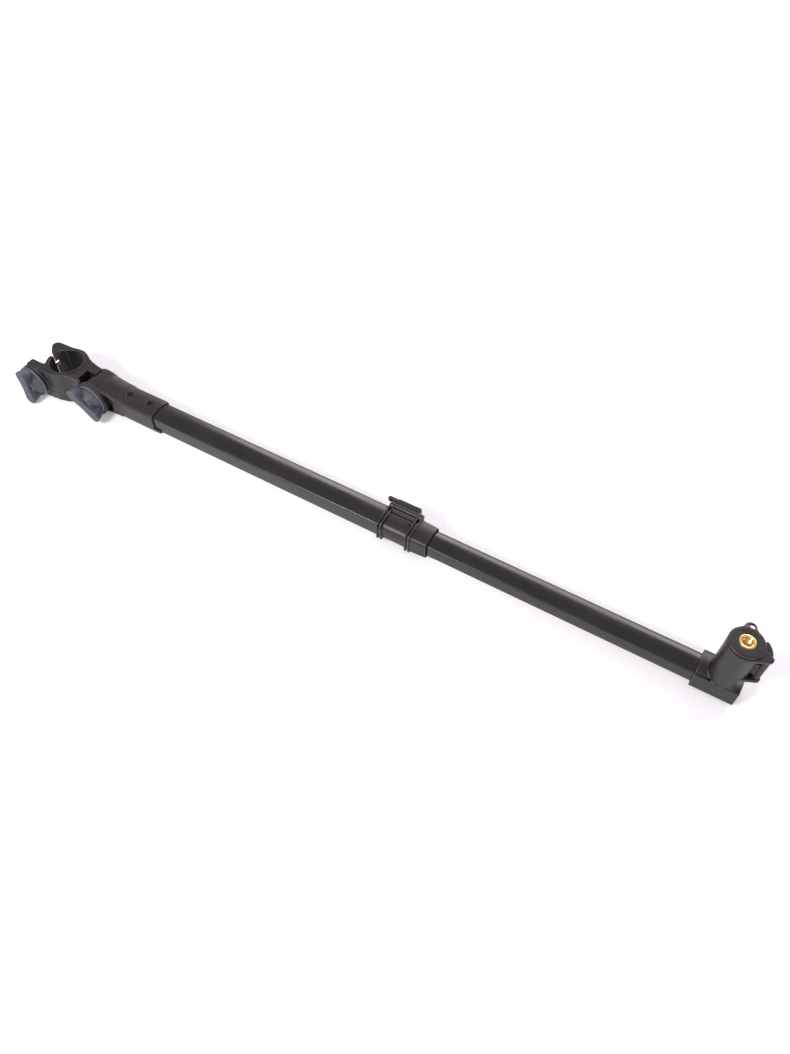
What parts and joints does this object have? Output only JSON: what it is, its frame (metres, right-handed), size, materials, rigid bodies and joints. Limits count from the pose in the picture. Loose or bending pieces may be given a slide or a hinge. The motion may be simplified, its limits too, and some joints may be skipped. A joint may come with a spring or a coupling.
{
  "type": "telescopic support arm",
  "caption": "Telescopic support arm: post ring clamp with wing knobs, tilting knuckle, two flat-oval tubes with a lever collar, and an upright socket holding a threaded insert.",
  "frame": {"origin": "on the axis of the clamp bore, at the middle of its height", "axes": "+Z along the clamp bore toward the threaded end's open side, +X along the arm toward the threaded insert, -Y toward both wing knobs"},
  "size_m": [0.7944, 0.0666, 0.084],
  "materials": {
    "black_plastic": "satin moulded charcoal plastic",
    "black_rubber": "matt black elastomer",
    "brass": "turned golden brass",
    "zinc_steel": "zinc-plated steel",
    "black_steel": "black oxide steel",
    "knob_grey": "soft blue-grey moulded grip",
    "anodised_tube": "black satin anodised extrusion"
  },
  "bodies": {
    "arm": {"arm_socket": "black_plastic", "socket_screws": "black_steel", "outer_tube": "anodised_tube", "pivot_bolt": "zinc_steel", "pivot_washer": "zinc_steel", "collar_body": "black_plastic", "collar_bush": "black_rubber", "collar_screw": "black_steel", "collar_lever_pin": "zinc_steel", "collar_pad": "black_rubber"},
    "clamp_head": {"clamp_body": "black_plastic", "bore_liner": "black_rubber", "clamp_nut": "brass", "clamp_washer": "zinc_steel"},
    "clamp_handle": {"clamp_knob": "knob_grey", "clamp_stud": "zinc_steel"},
    "pivot_handle": {"pivot_knob": "knob_grey", "pivot_knob_nut": "brass"},
    "collar_lever": {"collar_lever": "black_plastic"},
    "inner_arm": {"inner_tube": "anodised_tube", "inner_tube_plug": "black_plastic", "end_socket": "black_plastic", "end_socket_screws": "zinc_steel", "end_lever_pin": "zinc_steel", "end_pad": "black_rubber"},
    "end_lever": {"end_lever": "black_plastic"},
    "plug_carrier": {"plug_ring": "black_rubber"},
    "plug": {"insert_plug": "black_plastic", "thread_insert": "brass"}
  },
  "joints": [
    {"name": "clamp_tilt", "type": "hinge", "parent": "arm", "child": "clamp_head", "pos_m": [0.0465, 0, 0], "axis": [0, 1, 0], "range_deg": [-90, 0]},
    {"name": "clamp_knob_turn", "type": "hinge", "parent": "clamp_head", "child": "clamp_handle", "pos_m": [-0.028, 0, 0], "axis": [0, -1, 0], "continuous": true},
    {"name": "pivot_knob_turn", "type": "hinge", "parent": "arm", "child": "pivot_handle", "pos_m": [0.0465, 0, 0], "axis": [0, -1, 0], "continuous": true},
    {"name": "collar_lever_turn", "type": "hinge", "parent": "arm", "child": "collar_lever", "pos_m": [0.4195, 0.0122, 0.0122], "axis": [1, 0, 0], "range_deg": [0, 105]},
    {"name": "tube_slide", "type": "slide", "parent": "arm", "child": "inner_arm", "axis": [1, 0, 0], "range_m": [0, 0.26]},
    {"name": "end_lever_turn", "type": "hinge", "parent": "inner_arm", "child": "end_lever", "pos_m": [0.7448, -0.003, 0.04], "axis": [0, 0, -1], "range_deg": [0, 110]},
    {"name": "plug_lift", "type": "slide", "parent": "inner_arm", "child": "plug_carrier", "axis": [0, 0, 1], "range_m": [0, 0.034]},
    {"name": "plug_turn", "type": "hinge", "parent": "plug_carrier", "child": "plug", "pos_m": [0.7255, 0, 0.04], "axis": [0, 0, 1], "continuous": true}
  ]
}
